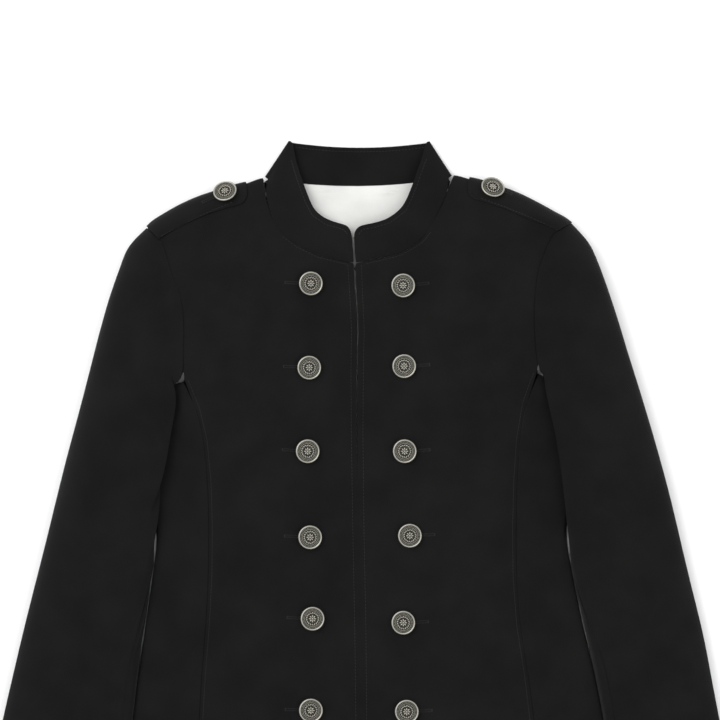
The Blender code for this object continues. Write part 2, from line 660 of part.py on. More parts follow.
def sleeve_grids(side):
    """Return the rows of the upper sleeve and of the under sleeve."""
    upper_rows, under_rows = [], []
    open_rings = cap_rings(side)
    for index, row in enumerate(open_rings + list(SLEEVE_ROWS[side])):
        closed = index >= len(open_rings)
        top, under = sleeve_ring(side, row, closed)
        _, top_length = along_profile(top, [0.0])
        _, under_length = along_profile(under, [0.0])
        bent = row.in_y > BENT_SEAM_Y
        gap = CURVED_SEAM if bent or abs(row.seam) < FLAT_SEAM_FROM else SEAM
        turn = min(SLEEVE_TURN_UNDER, SLEEVE_UNDER_MOST * under_length)
        turn_gap = CURVED_SEAM if bent else SEAM
        loop = under[::-1] + (top[1:] if closed else [])
        around = under_length + row.seam - gap if closed else under_length
        span = around - turn - turn_gap
        lower = [turn + turn_gap + span * share for share in SLEEVE_UNDER_STEPS]
        under_points, _ = along_profile(loop, lower)
        start = row.seam + gap if closed else 0.0
        before = [point for point in under if closed][::-1]
        profile = (before[:-1] if closed else []) + top + under[::-1][1:]
        offset = under_length if closed else 0.0
        upper = [offset + start + (top_length - start) * share for share in SLEEVE_UPPER_STEPS]
        upper += [offset + top_length + (turn - turn_gap) * share for share in SLEEVE_TURN_STEPS]
        upper_points, _ = along_profile(profile, upper)
        upper_rows.append(upper_points)
        under_rows.append(under_points)
    return upper_rows, under_rows


def collar_half(side):
    """Return the collar's lines from the front edge round the fold beside the neck."""
    foot, head = (np.array(point) for point in COLLAR_FOLD[side])
    along = (head - foot) / np.linalg.norm(head - foot)
    outward = np.array([along[1], -along[0]])
    if (outward[0] > 0) != (side == "right"):
        outward = -outward
    lines = []
    for row in COLLAR_ROWS[side]:
        lines.append(((row.seam_x, row.seam_y, row.seam_z), (row.top_x, row.top_y, row.top_z)))
    radius = COLLAR_FOLD_RADIUS
    for degrees in COLLAR_FOLD_TURNS:
        turn = math.radians(degrees)
        ends = []
        for place in (foot, head):
            x, y = place - outward * radius * (1.0 - math.cos(turn))
            ends.append((x, y, radius + radius * math.sin(turn)))
        lines.append(tuple(ends))
    return lines


def collar_grid():
    """Return the collar's rows: left front, left fold, back, right fold, right front."""
    left, right = collar_half("left"), collar_half("right")
    (left_foot, left_head), (right_foot, right_head) = left[-1], right[-1]
    back = []
    for step in range(1, COLLAR_BACK_STEPS):
        share = step / COLLAR_BACK_STEPS
        sag = 4.0 * share * (1.0 - share)
        foot = np.array(left_foot) + (np.array(right_foot) - left_foot) * share
        head = np.array(left_head) + (np.array(right_head) - left_head) * share
        foot[1] -= COLLAR_BACK_SEAM_SAG * sag
        head[1] -= COLLAR_BACK_TOP_SAG * sag
        back.append((tuple(foot), tuple(head)))
    lines = left + back + right[::-1]
    rows = []
    for seam, top in lines:
        row = []
        for step in range(COLLAR_HEIGHT_STEPS):
            share = step / (COLLAR_HEIGHT_STEPS - 1)
            point = np.array(seam) + (np.array(top) - seam) * share
            if seam[2] > 2 * COLLAR_FOLD_RADIUS:
                point[2] += COLLAR_ROLL * 4.0 * share * (1.0 - share)
            row.append(point)
        rows.append(row)
    return rows


def back_outline():
    """Return the back's outline on the table, inside the turned sides and shoulders."""
    halves = {}
    for side, sign in (("left", -1.0), ("right", 1.0)):
        inset = TURN_UNDER + 2 * SEAM
        points = []
        for row in SIDE_ROWS[side][:-1]:
            points.append((row.edge_x - sign * inset, row.edge_y))
        top_edge = SIDE_ROWS[side][-1]
        points.append((top_edge.edge_x - sign * inset, top_edge.edge_y - 2.0))
        for row in FRONT_ROWS[side][ARMHOLE_FIRST_ROW:]:
            points.append((row.out_x - sign * 0.6, row.out_y - (4.0 if row.in_y < 130 else 0.0)))
        for share in BACK_SHOULDER_STEPS:
            point, _ = shoulder_point(side, share, -90)
            ahead, _ = shoulder_point(side, share, 0)
            step = (point - ahead)[:2]
            step /= np.linalg.norm(step)
            place = point[:2] + step * (SHOULDER_PAST + 2 * SEAM)
            points.append((place[0], place[1]))
        halves[side] = points + list(BACK_CORNER[side])
    neck = []
    left_foot, right_foot = collar_half("left")[-1][0], collar_half("right")[-1][0]
    for step in range(1, COLLAR_BACK_STEPS):
        share = step / COLLAR_BACK_STEPS
        sag = COLLAR_BACK_SEAM_SAG * 4.0 * share * (1.0 - share)
        neck.append((left_foot[0] + (right_foot[0] - left_foot[0]) * share,
                     left_foot[1] + (right_foot[1] - left_foot[1]) * share - sag - 2 * SEAM))
    return halves["left"] + neck + halves["right"][::-1]


def button(name, place, facing, material, collection):
    """Make one turned shank button on a place, facing the given way."""
    mesh = bpy.data.meshes.new(name)
    outline = [(radius * MM, 0.0, height * MM) for radius, height in BUTTON_OUTLINE]
    edges = [(index, index + 1) for index in range(len(outline) - 1)]
    mesh.from_pydata(outline, edges, [])
    mesh.materials.append(material)
    piece = bpy.data.objects.new(name, mesh)
    collection.objects.link(piece)
    turned = piece.modifiers.new("Turned", "SCREW")
    turned.steps = BUTTON_SIDES
    turned.render_steps = BUTTON_SIDES
    turned.use_merge_vertices = True
    turned.merge_threshold = 0.0001
    piece.rotation_mode = "QUATERNION"
    piece.rotation_quaternion = Vector(facing).to_track_quat("Z", "Y")
    piece.location = Vector(place) * MM
    return piece


def front_buttons(grids, material, collection):
    """Make both rows of front buttons, each square to the cloth under it."""
    reach = 6.0
    for side, places in BUTTON_PLACES.items():
        for number, (x, y) in enumerate(places, start=1):
            grid = grids[side]
            z = height_on(grid, x, y)
            slope_x = (height_on(grid, x + reach, y) - height_on(grid, x - reach, y)) / (2 * reach)
            slope_y = (height_on(grid, x, y + reach) - height_on(grid, x, y - reach)) / (2 * reach)
            facing = np.array([-slope_x, -slope_y, 1.0])
            facing /= np.linalg.norm(facing)
            place = np.array([x, y, z]) + facing * LAID_ON
            button(f"button_{side}_{number}", place, facing, material, collection)


def shoulder_straps(material, metal, collection):
    """Make the strap on each shoulder, with its button."""
    for side in ("left", "right"):
        rows = []
        for step in range(STRAP_STEPS + 1):
            share = STRAP_START + (STRAP_END - STRAP_START) * step / STRAP_STEPS
            line = []
            for degrees in STRAP_TURNS:
                level = (degrees - STRAP_TURNS[-1]) / (STRAP_TURNS[0] - STRAP_TURNS[-1])
                rounding = STRAP_POINT * (1.0 - math.sqrt(max(0.0, 1.0 - level ** 4)))
                start = STRAP_START + rounding
                moved = start + (STRAP_END - start) * step / STRAP_STEPS
                line.append(shoulder_point(side, moved, degrees, LAID_ON + STRAP_CLOTH)[0])
            rows.append(line if side == "left" else line[::-1])
        cloth(f"strap_{side}", rows, STRAP_CLOTH, material, collection)
        share, degrees = STRAP_BUTTON_AT[side]
        place, facing = shoulder_point(side, share, degrees, 2 * LAID_ON + STRAP_CLOTH)
        button(f"strap_button_{side}", place, facing, metal, collection)


def neck_lining(material, collection):
    """Make the lining of the back, where it shows in the neck opening."""
    neck = [point for point in back_outline() if abs(point[0]) < LINING_HALF_WIDTH
            and point[1] > LINING_LOW_Y]
    outline = [(-LINING_HALF_WIDTH, LINING_LOW_Y), (-LINING_HALF_WIDTH, LINING_SHOULDER_Y)]
    outline += [(x, y - LINING_INSET) for x, y in neck]
    outline += [(LINING_HALF_WIDTH, LINING_SHOULDER_Y), (LINING_HALF_WIDTH, LINING_LOW_Y)]
    low = CLOTH + 2 * SEAM
    plate("neck_lining", outline, low, low + LINING_CLOTH, material, collection)


def neck_fastener(metal, collection):
    """Make the hook and the eye that close the neck under the front edges."""
    x, y, z = EYE_PLACE
    ring = []
    for step in range(EYE_SIDES):
        turn = 2 * math.pi * step / EYE_SIDES
        ring.append((x + EYE_LENGTH / 2 * math.cos(turn), y + EYE_WIDTH / 2 * math.sin(turn), z))
    wire("eye", ring, FASTENER_WIRE, metal, collection, closed=True)
    edge = x - EYE_LENGTH / 2
    hook = [(edge + across, y, z + rise) for across, rise in HOOK_BEND]
    wire("hook", hook, FASTENER_WIRE, metal, collection)


def outward_rows(rows, side):
    """Order a side's rows so that the cloth's faces point away from the wearer."""
    if side == "right":
        return rows
    return [row[::-1] for row in rows]


def main():
    """Build the whole jacket."""
    clear_scene()
    collection = make_collection("napoleon_jacket")
    black = make_material("black_cloth", (0.012, 0.012, 0.012), 0.85, 0.0)
    white = make_material("white_lining", (0.82, 0.81, 0.79), 0.7, 0.0)
    pewter = make_material("aged_pewter", (0.18, 0.17, 0.15), 0.45, 0.9)
    steel = make_material("black_steel", (0.03, 0.03, 0.03), 0.4, 0.8)

    plate("back", back_outline(), 0.0, CLOTH, black, collection)
    grids = {}
    for side in ("left", "right"):
        grids[side] = front_grid(side)
        cloth(f"front_{side}", outward_rows(grids[side], side), CLOTH, black, collection)
        cloth(f"side_{side}", outward_rows(side_grid(side), side), CLOTH, black, collection)
        upper, under = sleeve_grids(side)
        cloth(f"sleeve_upper_{side}", outward_rows(upper[::-1], side), CLOTH, black, collection)
        cloth(f"sleeve_under_{side}", outward_rows(under[::-1], side), CLOTH, black, collection)
    cloth("collar", collar_grid(), COLLAR_CLOTH, black, collection)
    neck_lining(white, collection)
    neck_fastener(steel, collection)
    shoulder_straps(black, pewter, collection)
    front_buttons(grids, pewter, collection)


main()
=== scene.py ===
"""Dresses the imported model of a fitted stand-collar jacket, laid flat on its back.

Tables are in millimetres, meshes in metres. X is right, +Y is the collar, Z is up.
"""

import json
import logging
import math
from dataclasses import dataclass, field
from enum import Enum

import bmesh
import bpy
import numpy as np
from mathutils import Matrix, Vector, noise
from mathutils.bvhtree import BVHTree

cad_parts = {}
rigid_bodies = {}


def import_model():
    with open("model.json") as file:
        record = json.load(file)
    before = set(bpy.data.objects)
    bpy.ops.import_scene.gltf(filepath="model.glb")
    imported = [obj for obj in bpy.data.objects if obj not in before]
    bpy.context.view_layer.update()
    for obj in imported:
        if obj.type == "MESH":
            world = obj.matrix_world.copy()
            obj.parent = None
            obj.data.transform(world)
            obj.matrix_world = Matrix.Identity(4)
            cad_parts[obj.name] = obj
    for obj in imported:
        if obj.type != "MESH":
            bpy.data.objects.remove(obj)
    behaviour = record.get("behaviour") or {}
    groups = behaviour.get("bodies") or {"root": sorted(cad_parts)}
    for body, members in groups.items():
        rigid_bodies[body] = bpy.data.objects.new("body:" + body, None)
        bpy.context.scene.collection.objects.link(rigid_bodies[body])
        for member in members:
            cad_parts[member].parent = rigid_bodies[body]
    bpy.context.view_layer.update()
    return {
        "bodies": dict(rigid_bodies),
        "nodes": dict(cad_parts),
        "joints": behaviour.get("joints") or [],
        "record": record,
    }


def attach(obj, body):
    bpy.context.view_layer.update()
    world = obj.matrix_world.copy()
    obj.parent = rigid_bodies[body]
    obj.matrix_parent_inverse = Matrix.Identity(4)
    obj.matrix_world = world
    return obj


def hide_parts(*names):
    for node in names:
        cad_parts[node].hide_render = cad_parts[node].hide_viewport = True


LOG = logging.getLogger("jacket")
MM = 0.001
BODY = "root"
SIDES = ("left", "right")
PAINTED_SHADE_FROM = 118.0      # past this, the inside of the body is black cloth, not lining: painted shade under the arms
NECK_FROM = 268.0       # above this, that painted shade inside comes closer in
PAINTED_SHADE_AT_NECK = 81.0
CAGE_ROUNDS = 4         # corrections that bring the rounded cloth back onto its solid
CAGE_LIMIT = 1.6        # the most that the cage may leave the solid
MERGE = 0.02            # the solid's loose triangles are joined within this
FACE_TURN = 0.6         # triangles that turn less than this, in radians, become one face
FACE_SKEW = 1.2         # and how unlike a rectangle that face may be
RIM_TURN = 1.0          # an edge that turns more than this, in radians, ends a side
FREE_RISE = 6.0         # creases grow to their full depth over this height
CREASE_END = 0.04       # the share of a crease where its fade begins and ends
CREASE_FADE = 0.7       # below 1, a crease keeps its depth further towards its ends
BROAD_WAVE = (34.0, 52.0, 1.7)      # width, length and layer of the cloth's unevenness
FINE_WAVE = (9.0, 13.0, 5.1)
FINE_SHARE = 0.4        # the height of the fine waves beside the broad ones
YARN_SHARE = 0.35       # how high the crossing yarns stand beside the ribs
RIB_SHADE = 0.12        # how much the ribs show in the tone
CLOUD_SCALE = 26.0      # the loose patches of tone
CLOUD_DETAIL = 6.0

Point = tuple[float, float]
Size = tuple[float, float, float]


class Finish(Enum):
    """The finishes of the jacket."""

    CLOTH = "black twill"
    LINING = "white lining"
    THREAD = "black thread"
    PEWTER = "aged pewter"
    STEEL = "black steel"


def twill_group() -> bpy.types.NodeTree:
    """Build the shared weave: diagonal ribs crossed by single yarns, and a loose tone.

    Returns:
        A node group with inputs Ribs and Slant and outputs Height and Shade.
    """
    group = bpy.data.node_groups.new("Twill Weave", "ShaderNodeTree")
    for name, default in (("Ribs", 900.0), ("Slant", 0.9)):
        socket = group.interface.new_socket(name, in_out="INPUT", socket_type="NodeSocketFloat")
        socket.default_value = default
    for name in ("Height", "Shade"):
        group.interface.new_socket(name, in_out="OUTPUT", socket_type="NodeSocketFloat")
    nodes, links = group.nodes, group.links
    given, out = nodes.new("NodeGroupInput"), nodes.new("NodeGroupOutput")
    place = nodes.new("ShaderNodeTexCoord")
    split = nodes.new("ShaderNodeSeparateXYZ")
    links.new(place.outputs["Object"], split.inputs[0])

    def calc(operation: str, first: object, second: object) -> bpy.types.NodeSocket:
        """Join two values with a math node and return its output."""
        node = nodes.new("ShaderNodeMath")
        node.operation = operation
        for slot, value in zip(node.inputs, (first, second)):
            if isinstance(value, float):
                slot.default_value = value
            else:
                links.new(value, slot)
        return node.outputs[0]

    lean = calc("MULTIPLY", split.outputs["Y"], given.outputs["Slant"])
    across = calc("ADD", split.outputs["X"], calc("ADD", lean, split.outputs["Z"]))
    ribs = calc("SINE", calc("MULTIPLY", across, given.outputs["Ribs"]), 0.0)
    along = calc("SUBTRACT", split.outputs["Y"], split.outputs["X"])
    yarns = calc("SINE", calc("MULTIPLY", along, given.outputs["Ribs"]), 0.0)
    links.new(calc("ADD", ribs, calc("MULTIPLY", yarns, YARN_SHARE)), out.inputs["Height"])
    cloud = nodes.new("ShaderNodeTexNoise")
    cloud.inputs["Scale"].default_value = CLOUD_SCALE
    cloud.inputs["Detail"].default_value = CLOUD_DETAIL
    links.new(place.outputs["Object"], cloud.inputs["Vector"])
    shade = calc("ADD", cloud.outputs["Fac"], calc("MULTIPLY", ribs, RIB_SHADE))
    links.new(shade, out.inputs["Shade"])
    return group


@dataclass(frozen=True)
class FabricFinish:
    """A woven finish: two shades mixed by the weave, with its ribs as relief."""

    name: str
    dark: tuple[float, float, float, float]
    light: tuple[float, float, float, float]
    ribs: float
    depth: float
    roughness: float
    gloss: float
    sheen: float
    sheen_spread: float = 0.45
    dark_below: float = 0.3
    light_above: float = 0.72
    relief: float = 0.6

    def make(self, weave: bpy.types.NodeTree) -> bpy.types.Material:
        """Return the material, reading the weave from its group."""
        material = bpy.data.materials.new(self.name)
        material.use_nodes = True
        nodes, links = material.node_tree.nodes, material.node_tree.links
        shader = nodes["Principled BSDF"]
        shader.inputs["Roughness"].default_value = self.roughness
        shader.inputs["Specular IOR Level"].default_value = self.gloss
        shader.inputs["Sheen Weight"].default_value = self.sheen
        shader.inputs["Sheen Roughness"].default_value = self.sheen_spread
        woven = nodes.new("ShaderNodeGroup")
        woven.node_tree = weave
        woven.inputs["Ribs"].default_value = self.ribs
        ramp = nodes.new("ShaderNodeValToRGB")
        ramp.color_ramp.elements[0].position = self.dark_below
        ramp.color_ramp.elements[0].color = self.dark
        ramp.color_ramp.elements[1].position = self.light_above
        ramp.color_ramp.elements[1].color = self.light
        links.new(woven.outputs["Shade"], ramp.inputs["Fac"])
        links.new(ramp.outputs["Color"], shader.inputs["Base Color"])
        bump = nodes.new("ShaderNodeBump")
        bump.inputs["Distance"].default_value = self.depth
        bump.inputs["Strength"].default_value = self.relief
        links.new(woven.outputs["Height"], bump.inputs["Height"])
        links.new(bump.outputs["Normal"], shader.inputs["Normal"])
        return material


@dataclass(frozen=True)
class MetalFinish:
    """A cast metal finish: bright on the high relief, dark in the hollows and pits."""

    name: str
    bright: tuple[float, float, float, float]
    dark: tuple[float, float, float, float]
    roughness: float
    metallic: float
    grain_scale: float = 900.0
    grain_detail: float = 5.0
    grain_share: float = 0.35
    dark_below: float = 0.25
    bright_above: float = 0.95
    smoother: float = 0.1
    rougher: float = 0.15
    pit_depth: float = 0.0002
    relief: float = 0.5

    def make(self) -> bpy.types.Material:
        """Return the material, its tone led by its patina and a fine grain."""
        material = bpy.data.materials.new(self.name)
        material.use_nodes = True
        nodes, links = material.node_tree.nodes, material.node_tree.links
        shader = nodes["Principled BSDF"]
        shader.inputs["Metallic"].default_value = self.metallic
        place = nodes.new("ShaderNodeTexCoord")
        grain = nodes.new("ShaderNodeTexNoise")
        grain.inputs["Scale"].default_value = self.grain_scale
        grain.inputs["Detail"].default_value = self.grain_detail
        links.new(place.outputs["Object"], grain.inputs["Vector"])
        tone = nodes.new("ShaderNodeAttribute")
        tone.attribute_name = "patina"
        mix = nodes.new("ShaderNodeMath")
        mix.operation = "MULTIPLY_ADD"
        mix.inputs[1].default_value = self.grain_share
        links.new(grain.outputs["Fac"], mix.inputs[0])
        links.new(tone.outputs["Fac"], mix.inputs[2])
        ramp = nodes.new("ShaderNodeValToRGB")
        ramp.color_ramp.elements[0].position = self.dark_below
        ramp.color_ramp.elements[0].color = self.dark
        ramp.color_ramp.elements[1].position = self.bright_above
        ramp.color_ramp.elements[1].color = self.bright
        links.new(mix.outputs[0], ramp.inputs["Fac"])
        links.new(ramp.outputs["Color"], shader.inputs["Base Color"])
        rough = nodes.new("ShaderNodeMapRange")
        rough.inputs["To Min"].default_value = self.roughness - self.smoother
        rough.inputs["To Max"].default_value = self.roughness + self.rougher
        links.new(grain.outputs["Fac"], rough.inputs["Value"])
        links.new(rough.outputs["Result"], shader.inputs["Roughness"])
        bump = nodes.new("ShaderNodeBump")
        bump.inputs["Distance"].default_value = self.pit_depth
        bump.inputs["Strength"].default_value = self.relief
        links.new(grain.outputs["Fac"], bump.inputs["Height"])
        links.new(bump.outputs["Normal"], shader.inputs["Normal"])
        return material


def make_finishes() -> dict[Finish, bpy.types.Material]:
    """Return every finish of the jacket, made once."""
    weave = twill_group()
    cloth = FabricFinish("Black Twill", dark=(0.0022, 0.0022, 0.0023, 1),
                         light=(0.0054, 0.0053, 0.0052, 1), ribs=5200.0, depth=0.00016,
                         roughness=0.82, gloss=0.13, sheen=0.045)
    lining = FabricFinish("White Lining", dark=(0.56, 0.56, 0.545, 1),
                          light=(0.68, 0.68, 0.66, 1), ribs=9000.0, depth=0.00004,
                          roughness=0.62, gloss=0.3, sheen=0.1)
    thread = FabricFinish("Black Thread", dark=(0.006, 0.006, 0.006, 1),
                          light=(0.016, 0.016, 0.016, 1), ribs=14000.0, depth=0.00005,
                          roughness=0.5, gloss=0.35, sheen=0.0)
    pewter = MetalFinish("Aged Pewter", bright=(0.4, 0.39, 0.34, 1),
                         dark=(0.03, 0.028, 0.023, 1), roughness=0.46, metallic=0.85)
    steel = MetalFinish("Black Steel", bright=(0.05, 0.05, 0.05, 1),
                        dark=(0.01, 0.01, 0.01, 1), roughness=0.4, metallic=0.9)
    return {
        Finish.CLOTH: cloth.make(weave),
        Finish.LINING: lining.make(weave),
        Finish.THREAD: thread.make(weave),
        Finish.PEWTER: pewter.make(),
        Finish.STEEL: steel.make(),
    }


@dataclass(frozen=True)
class Crease:
    """One soft trough (depth below 0) or ridge, bowed sideways at its middle."""

    x: float
    y: float
    end_x: float
    end_y: float
    width: float
    depth: float
    bow: float = 0.0

    def height(self, x: float, y: float) -> float:
        """Return what this crease adds to the cloth's height at a place."""
        along = Vector((self.end_x - self.x, self.end_y - self.y))
        place = Vector((x - self.x, y - self.y))
        share = min(max(place.dot(along) / along.length_squared, 0.0), 1.0)
        side = Vector((-along.y, along.x)).normalized()
        middle = along * share + side * (self.bow * 4.0 * share * (1.0 - share))
        offset = (place - middle).length
        inner = min(max(share, CREASE_END), 1.0 - CREASE_END)
        fade = math.sin(math.pi * inner) ** CREASE_FADE
        return self.depth * fade * math.exp(-((offset / self.width) ** 2))


BODY_CREASES = (
    Crease(136, 236, 155, 166, 9, -1.2, 4), Crease(128, 150, 136, 14, 11, -1.1, -5),
    Crease(112, 176, 104, 96, 13, 0.9), Crease(150, 104, 158, 30, 9, -0.9),
    Crease(-122, 112, -111, -16, 10, -1.0, 4), Crease(-104, 168, -98, 92, 13, 0.8),
    Crease(-27, 227, -13, 198, 6, -1.1, 2), Crease(11, 214, 28, 198, 7, -0.9, -2),
    Crease(-132, 214, -150, 168, 9, -1.0), Crease(-70, -20, -84, -118, 12, -0.8, 6),
    Crease(-96, -170, -108, -300, 14, -1.0, -5), Crease(84, -34, 96, -142, 13, -0.8, -5),
    Crease(112, -160, 126, -290, 14, -1.0, 6), Crease(-66, 232, -92, 214, 7, -0.8),
    Crease(70, 238, 96, 222, 7, -0.8), Crease(-24, 96, -30, 66, 7, -0.6),
    Crease(24, 8, 30, -24, 7, -0.5), Crease(-150, -60, -186, -74, 7, -0.9, 3),
    Crease(162, -66, 196, -84, 7, -0.9, -3), Crease(-16, -236, -24, -322, 10, 0.7),
    Crease(22, -222, 30, -318, 11, 0.7), Crease(-176, -190, -196, -300, 11, -0.9),
    Crease(196, -176, 214, -286, 11, -0.9), Crease(-150, 30, -172, 10, 6, -0.7),
)
SLEEVE_CREASES = (
    Crease(-188, 220, -175, 192, 7, -1.3, 3), Crease(-205, 232, -196, 204, 7, -0.8),
    Crease(-214, 205, -206, 126, 12, -1.0, -5), Crease(-198, 108, -240, 66, 8, -1.2, 5),
    Crease(-203, 22, -262, -6, 9, -1.3, -6), Crease(-212, -30, -248, -48, 7, -0.8, 3),
    Crease(-219, -62, -274, -84, 9, -1.0, 5), Crease(-240, -132, -290, -150, 8, -0.7, -4),
    Crease(-262, -110, -276, -200, 13, -0.9, 5), Crease(-290, -214, -310, -306, 12, -0.9, -5),
    Crease(-252, -236, -262, -318, 9, 0.7), Crease(-240, 90, -262, 10, 11, 0.8),
    Crease(186, 224, 178, 182, 7, -1.2, -3), Crease(204, 236, 198, 206, 7, -0.8),
    Crease(220, 200, 213, 122, 12, -1.0, 5), Crease(206, 98, 250, 70, 8, -1.1, -5),
    Crease(212, 16, 274, -14, 9, -1.3, 6), Crease(222, -34, 256, -50, 7, -0.8, -3),
    Crease(232, -66, 286, -92, 9, -1.0, -5), Crease(262, -140, 304, -156, 8, -0.7, 4),
    Crease(272, -112, 288, -204, 13, -0.9, -5), Crease(302, -216, 318, -304, 12, -0.9, 5),
    Crease(268, -240, 276, -320, 9, 0.7), Crease(250, 84, 272, 6, 11, 0.8),
)
COLLAR_CREASES = (
    Crease(20, 258, 46, 270, 4, -0.7, 1), Crease(-24, 258, -44, 268, 4, -0.5),
    Crease(60, 258, 74, 292, 6, -0.6, 2), Crease(-62, 256, -78, 292, 6, -0.6, -2),
    Crease(-40, 326, 30, 328, 8, -0.5),
)
LINING_CREASES = (
    Crease(-30, 283, -2, 281, 1.8, -1.0), Crease(4, 279, 30, 277.4, 1.8, -0.9),
    Crease(36, 297, 43, 266, 3, 1.2, 1), Crease(-44, 297, -38, 262, 3, 1.1, -1),
    Crease(2, 300, 2.4, 240, 1.8, 0.9), Crease(-20, 274, -12, 244, 5, 0.9),
    Crease(20, 272, 26, 246, 5, -0.9), Crease(31, 298, 33, 270, 2.5, -0.8),
    Crease(-33, 300, -28, 286, 3, 0.8),
)


@dataclass
class ClothPiece:
    """One sewn piece: its CAD node made soft, creased and lined inside.

    The cut's flat size and area are in metres. The lining shows above lined_from, below
    it is the hem facing, and up to painted_shade_above, past which the inside is black
    cloth as painted shade. The rim is rounded by rim, its outer side is pressed down by
    pressed, or raised where that is below 0, and it is moved out by reach. Where
    is_shade_painted_inside holds, the inside past the sides and shoulders is painted shade
    in black cloth too.
    """

    node: str
    creases: tuple[Crease, ...]
    flat: tuple[float, float]
    area: float
    rests_on: tuple[str, ...] = ()
    finish: Finish = Finish.CLOTH
    slot: str = "black_cloth"
    lined_from: float | None = None
    # above this, the inside is black cloth: painted shade where the lining would lie in shade
    painted_shade_above: float = math.inf
    # whether the inside past the sides and shoulders is black cloth as painted shade
    is_shade_painted_inside: bool = True
    levels: int = 2
    rim: float = 0.7
    pressed: float = 0.75
    reach: float = 0.3
    waviness: float = 0.35
    rises_from: float = 3.0
    is_flat: bool = False
    inside_up: bool = False
    piece: bpy.types.Object | None = field(default=None, init=False)

    def build(self, frame: dict) -> bpy.types.Object:
        """Copy the node, round its rims, divide it and lay its creases.


        Returns:
            The finished cloth object.
        """
        mesh = frame["nodes"][self.node].data.copy()
        mesh.materials.clear()
        piece = bpy.data.objects.new(f"{self.node}_cloth", mesh)
        bpy.context.scene.collection.objects.link(piece)
        form = bmesh.new()
        form.from_mesh(mesh)
        bmesh.ops.remove_doubles(form, verts=form.verts, dist=MERGE * MM)
        bmesh.ops.join_triangles(form, faces=form.faces, angle_face_threshold=FACE_TURN,
                                 angle_shape_threshold=FACE_SKEW)
        sharp = [edge for edge in form.edges
                 if len(edge.link_faces) == 2 and edge.calc_face_angle(0.0) > RIM_TURN]
        outer = mark_inside(form, set(sharp), self.inside_up)
        press_edges(outer, set(sharp), self.pressed * MM)
        close_seams(form, set(sharp), self.reach * MM)
        bmesh.ops.bevel(form, geom=sharp, offset=self.rim * MM, segments=2, profile=0.5,
                        affect="EDGES", clamp_overlap=True)
        form.to_mesh(mesh)
        form.free()
        select_only(piece)
        rounded = piece.modifiers.new("Soft Cloth", "SUBSURF")
        rounded.levels = self.levels
        rounded.render_levels = self.levels
        if self.is_flat:
            rounded.subdivision_type = "SIMPLE"
        else:
            hold_form(piece)
        bpy.ops.object.modifier_apply(modifier=rounded.name)
        self.lay_creases(piece)
        bpy.ops.object.shade_smooth()
        self.piece = piece
        return piece

    def lay_creases(self, piece: bpy.types.Object) -> None:
        """Move the upper cloth by its creases and a slight unevenness; the table side stays."""
        for vertex in piece.data.vertices:
            x, y, z = vertex.co / MM
            lift = sum(crease.height(x, y) for crease in self.creases)
            for share, (width, length, layer) in ((1.0, BROAD_WAVE), (FINE_SHARE, FINE_WAVE)):
                wave = noise.noise(Vector((x / width, y / length, layer)))
                lift += share * self.waviness * wave
            free = min(max((z - self.rises_from) / FREE_RISE, 0.0), 1.0)
            vertex.co.z += lift * free * MM

    def dress(self, finishes: dict[Finish, bpy.types.Material]) -> None:
        """Give the outside its cloth, and the inside its lining, but black cloth at the hems
        and, as painted shade, past the sides, at the shoulders and high in the sleeves.
        """
        mesh = self.piece.data
        mesh.materials.append(finishes[self.finish])
        if self.lined_from is not None:
            mesh.materials.append(finishes[Finish.LINING])
            for face in mesh.polygons:
                x, y, _ = face.center / MM
                # below the lining is the real hem facing; above its upper limit the black cloth
                # is painted shade
                hemmed_or_painted_shade = y < self.lined_from or y > self.painted_shade_above
                # past the sides and at the shoulders the inside is black cloth: painted shade
                # where the lining would lie in shade
                in_painted_shade = abs(x) > (PAINTED_SHADE_FROM if y < NECK_FROM else PAINTED_SHADE_AT_NECK)
                if hemmed_or_painted_shade or (self.is_shade_painted_inside and in_painted_shade):
                    face.material_index = 0
        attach(self.piece, BODY)
        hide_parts(self.node)

    def declare(self, with_pieces: tuple = ()) -> None:
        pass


def mark_inside(form: bmesh.types.BMesh, sharp: set, inside_up: bool) -> list:
    """Mark the faces of a cloth wall's inner side with the second material.

    Args:
        form: the piece's mesh, a closed wall.
        sharp: the edges on both sides of its rim, where the sides end.
        inside_up: whether the inner side faces up, as on the back.

    Returns:
        The faces of the outer side.
    """
    left = set(form.faces)
    sides = []
    while left:
        side = [left.pop()]
        for face in side:
            for edge in face.edges:
                if edge in sharp:
                    continue
                for other in edge.link_faces:
                    if other in left:
                        left.remove(other)
                        side.append(other)
        sides.append(side)
    sides.sort(key=lambda side: -sum(face.calc_area() for face in side))
    first, second = sides[0], sides[1]
    first_up = sum(face.normal.z * face.calc_area() for face in first) > 0
    inner = first if inside_up and first_up else second
    for face in inner:
        face.material_index = 1
    return second if inner is first else first


def press_edges(outer: list, sharp: set, depth: float) -> None:
    """Press a piece's edges thin on their outer side, as an iron does along a seam.

    Args:
        outer: the faces of the outer side.
        sharp: the edges where that side ends.
        depth: how far its edge sinks, in metres.
    """
    ways: dict = {}
    for face in outer:
        ends = {vertex for edge in face.edges if edge in sharp for vertex in edge.verts}
        for vertex in ends:
            ways[vertex] = ways.get(vertex, Vector()) + face.normal
    for vertex, way in ways.items():
        vertex.co -= way.normalized() * depth


def close_seams(form: bmesh.types.BMesh, sharp: set, reach: float) -> None:
    """Move the rims out, towards the pieces that are sewn on there.

    Args:
        form: the piece's mesh.
        sharp: the edges on both sides of its rim.
        reach: how far the rim moves out, in metres.
    """
    ways: dict = {}
    for face in form.faces:
        if sum(edge in sharp for edge in face.edges) < 2:
            continue
        for vertex in face.verts:
            ways[vertex] = ways.get(vertex, Vector()) + face.normal
    for vertex, way in ways.items():
        vertex.co += way.normalized() * reach


